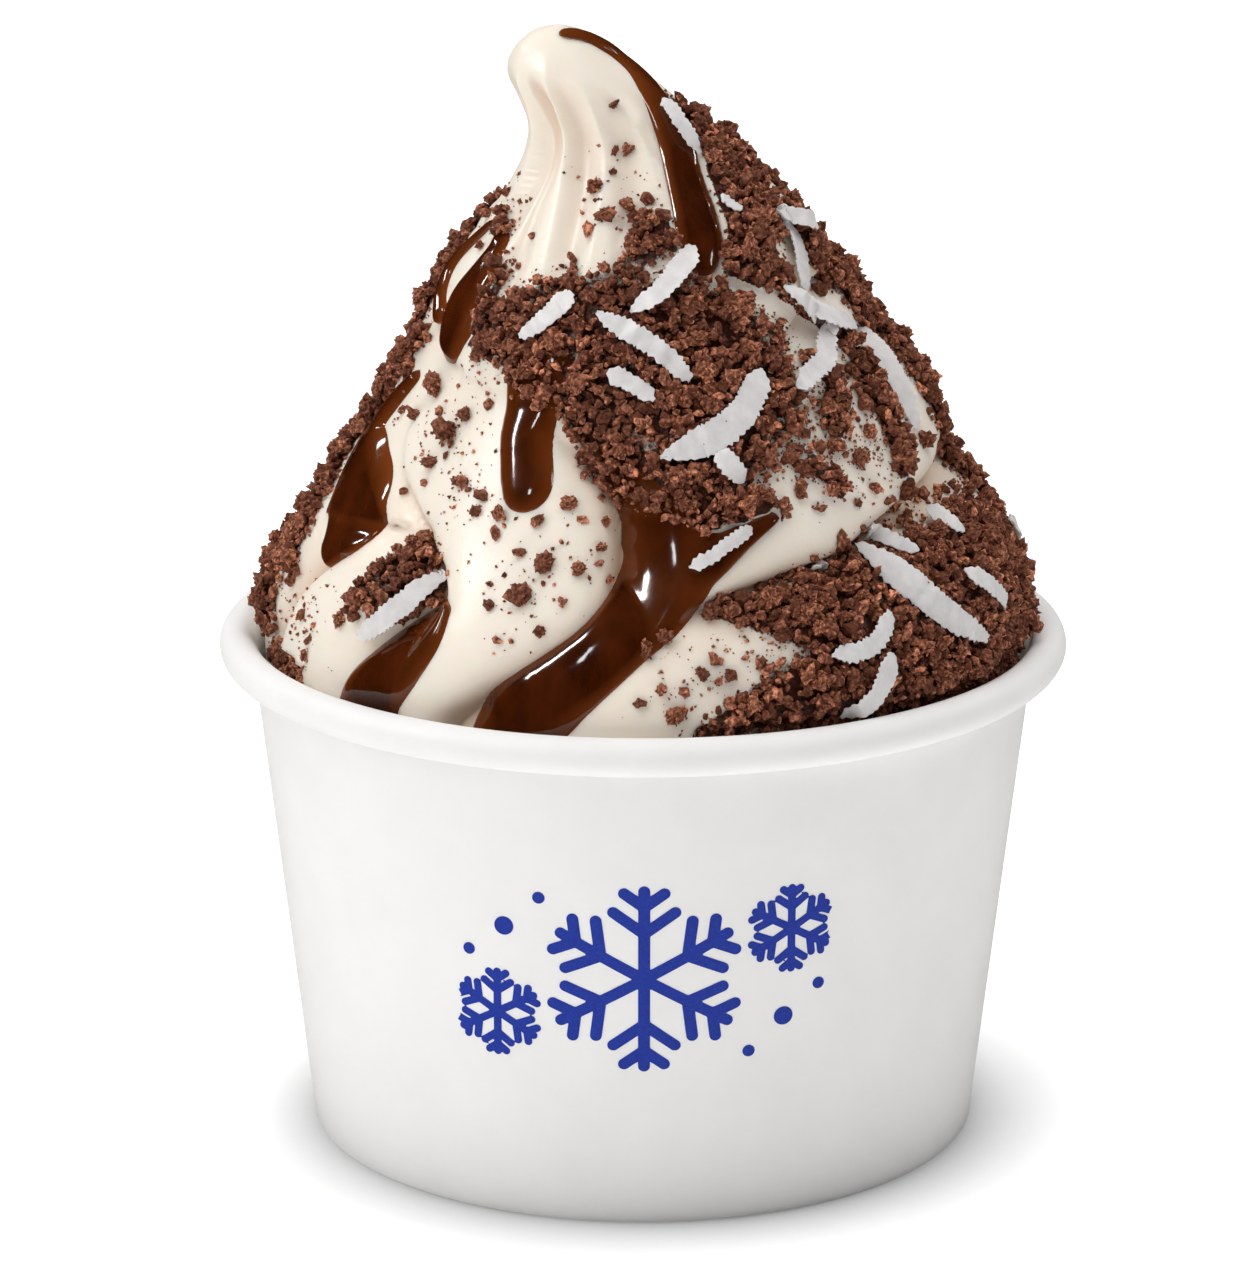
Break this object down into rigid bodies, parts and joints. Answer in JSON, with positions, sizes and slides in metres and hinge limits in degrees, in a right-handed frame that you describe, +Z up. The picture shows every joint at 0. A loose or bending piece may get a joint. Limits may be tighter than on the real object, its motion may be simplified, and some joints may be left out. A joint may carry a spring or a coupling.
{
  "type": "frozen yogurt cup",
  "caption": "Paper cup with a rolled rim, filled with a tall swirl of frozen yogurt under chocolate sauce, chocolate crumbs and coconut flakes.",
  "frame": {"origin": "on the ground under the middle of the cup, at the centre of the ring that it stands on", "axes": "+Z up through the middle of the cup, -Y towards the front with the printed motif, +X to the right of the front"},
  "size_m": [0.096, 0.096, 0.1264],
  "materials": {
    "paper": "white coated paper board, satin",
    "yogurt": "creamy white frozen yogurt, softly moist",
    "chocolate_sauce": "dark brown chocolate sauce, glossy and thick",
    "chocolate_crumbs": "brown crumbled chocolate sponge, rough",
    "coconut": "white coconut flakes, slightly translucent",
    "print": "blue printing ink on the paper, satin"
  },
  "bodies": {
    "root": {"cup_wall": "paper", "cup_base": "paper", "frozen_yogurt": "yogurt"}
  },
  "joints": []
}
